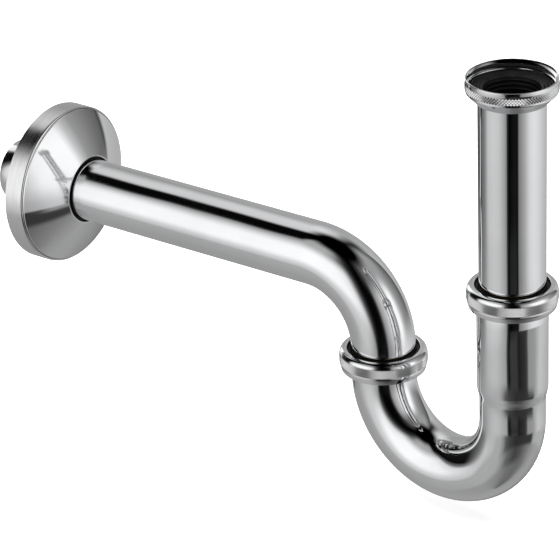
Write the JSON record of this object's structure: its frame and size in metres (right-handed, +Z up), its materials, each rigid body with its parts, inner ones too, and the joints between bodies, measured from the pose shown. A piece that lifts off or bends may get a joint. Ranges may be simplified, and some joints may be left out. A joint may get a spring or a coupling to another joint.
{
  "type": "p trap",
  "caption": "Chromed tubular basin trap: wall pipe with rosette and elbow, U-bend with slip nuts, adjustable inlet tube and union nut.",
  "frame": {"origin": "centre of the open end of the outlet pipe, which enters the wall pipe", "axes": "+X along the outlet pipe from the wall into the room, +Z up along the inlet tube's axis, Y level across the pipe"},
  "size_m": [0.3316, 0.082, 0.232],
  "materials": {
    "chrome_pipe": "bright chrome plate on brass tube",
    "chrome_u_bend": "bright chrome plate on brass tube",
    "chrome_inlet": "bright chrome plate on brass tube",
    "chrome_rosette": "polished cone with a satin rim band",
    "chrome_nut": "bright chrome plate with a knurled satin band",
    "brass": "machined, unplated",
    "rubber": "matt black moulded rubber",
    "black_plastic": "matt black polyethylene"
  },
  "bodies": {
    "outlet_pipe": {"outlet_tube": "chrome_pipe"},
    "grip_ring": {"rosette_grip_ring": "rubber"},
    "rosette": {"wall_rosette": "chrome_rosette"},
    "lower_seal": {"lower_seal": "rubber"},
    "u_bend": {"u_bend": "chrome_u_bend", "outlet_ferrule": "brass", "inlet_ferrule": "brass"},
    "lower_slip_ring": {"lower_slip_ring": "black_plastic"},
    "lower_slip_nut": {"lower_slip_nut": "chrome_nut"},
    "upper_seal": {"upper_seal": "rubber"},
    "upper_slip_ring": {"upper_slip_ring": "black_plastic"},
    "upper_slip_nut": {"upper_slip_nut": "chrome_nut"},
    "inlet_tube": {"inlet_tube": "chrome_inlet", "inlet_washer": "rubber"},
    "union_nut": {"union_nut": "chrome_nut"}
  },
  "joints": [
    {"name": "rosette_slide", "type": "slide", "parent": "outlet_pipe", "child": "grip_ring", "axis": [1, 0, 0], "range_m": [-0.015, 0.09]},
    {"name": "rosette_turn", "type": "hinge", "parent": "grip_ring", "child": "rosette", "pos_m": [0.0453, 0, 0], "axis": [1, 0, 0], "continuous": true},
    {"name": "u_bend_drop", "type": "slide", "parent": "outlet_pipe", "child": "lower_seal", "axis": [0, 0, 1], "range_m": [-0.008, 0]},
    {"name": "u_bend_swing", "type": "hinge", "parent": "lower_seal", "child": "u_bend", "pos_m": [0.23, 0, -0.045], "axis": [0, 0, 1], "range_deg": [-135, 145]},
    {"name": "lower_nut_lift", "type": "slide", "parent": "u_bend", "child": "lower_slip_ring", "axis": [0, 0, 1], "range_m": [0, 0.0045]},
    {"name": "lower_nut_turn", "type": "hinge", "parent": "lower_slip_ring", "child": "lower_slip_nut", "pos_m": [0.23, 0, -0.046], "axis": [0, 0, 1], "range_deg": [0, 1080]},
    {"name": "inlet_turn", "type": "hinge", "parent": "u_bend", "child": "upper_seal", "pos_m": [0.3097, -0.00697, 0.013], "axis": [0, 0, 1], "continuous": true},
    {"name": "inlet_slide", "type": "slide", "parent": "upper_seal", "child": "inlet_tube", "axis": [0, 0, 1], "range_m": [-0.015, 0.02]},
    {"name": "upper_nut_lift", "type": "slide", "parent": "u_bend", "child": "upper_slip_ring", "axis": [0, 0, 1], "range_m": [0, 0.0045]},
    {"name": "upper_nut_turn", "type": "hinge", "parent": "upper_slip_ring", "child": "upper_slip_nut", "pos_m": [0.3097, -0.00697, 0.012], "axis": [0, 0, 1], "range_deg": [0, 1080]},
    {"name": "union_turn", "type": "hinge", "parent": "inlet_tube", "child": "union_nut", "pos_m": [0.3097, -0.00697, 0.115], "axis": [0, 0, 1], "continuous": true}
  ],
  "couplings": [
    {"joint": "lower_nut_lift", "follows": "lower_nut_turn", "m_per_rad": 0.00023873},
    {"joint": "upper_nut_lift", "follows": "upper_nut_turn", "m_per_rad": 0.00023873}
  ]
}
